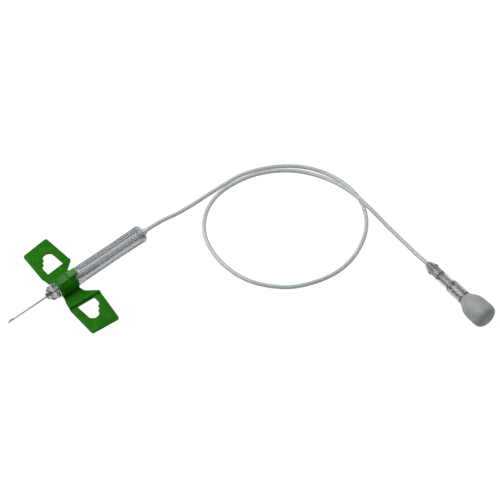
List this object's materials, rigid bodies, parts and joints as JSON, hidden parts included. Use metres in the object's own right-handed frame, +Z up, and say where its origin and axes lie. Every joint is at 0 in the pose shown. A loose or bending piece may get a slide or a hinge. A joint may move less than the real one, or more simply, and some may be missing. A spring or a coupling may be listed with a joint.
{
  "type": "butterfly needle",
  "caption": "Winged infusion needle with a clear sliding needle guard, a green wing clip, looped thin tubing and a capped Luer connector.",
  "frame": {"origin": "on the table plane, under the middle of the needle and guard, without the tubing and its connector", "axes": "+X from the needle's tip along its axis towards the tubing, +Y across the wings, +Z up from the table"},
  "size_m": [0.1509, 0.1472, 0.0106],
  "materials": {
    "stainless_steel": "drawn and polished tube",
    "hub_acrylic": "clear moulding, glossy",
    "clear_polycarbonate": "clear moulding, glossy",
    "green_vinyl": "soft moulding, satin",
    "tubing_vinyl": "clear extruded tube, glossy",
    "frosted_polyethylene": "frosted, slightly translucent"
  },
  "bodies": {
    "needle": {"cannula": "stainless_steel", "needle_hub": "hub_acrylic", "tubing": "tubing_vinyl", "luer_connector": "clear_polycarbonate"},
    "guard": {"guard_barrel": "clear_polycarbonate", "barrel_end_cap": "clear_polycarbonate", "wing_clip": "green_vinyl"},
    "cap": {"luer_cap": "frosted_polyethylene"}
  },
  "joints": [
    {"name": "guard_slide", "type": "slide", "parent": "needle", "child": "guard", "axis": [-1, 0, 0], "range_m": [0, 0.021]},
    {"name": "cap_pull", "type": "slide", "parent": "needle", "child": "cap", "axis": [-0.0521, -0.9938, 0.0979], "range_m": [0, 0.012]}
  ]
}
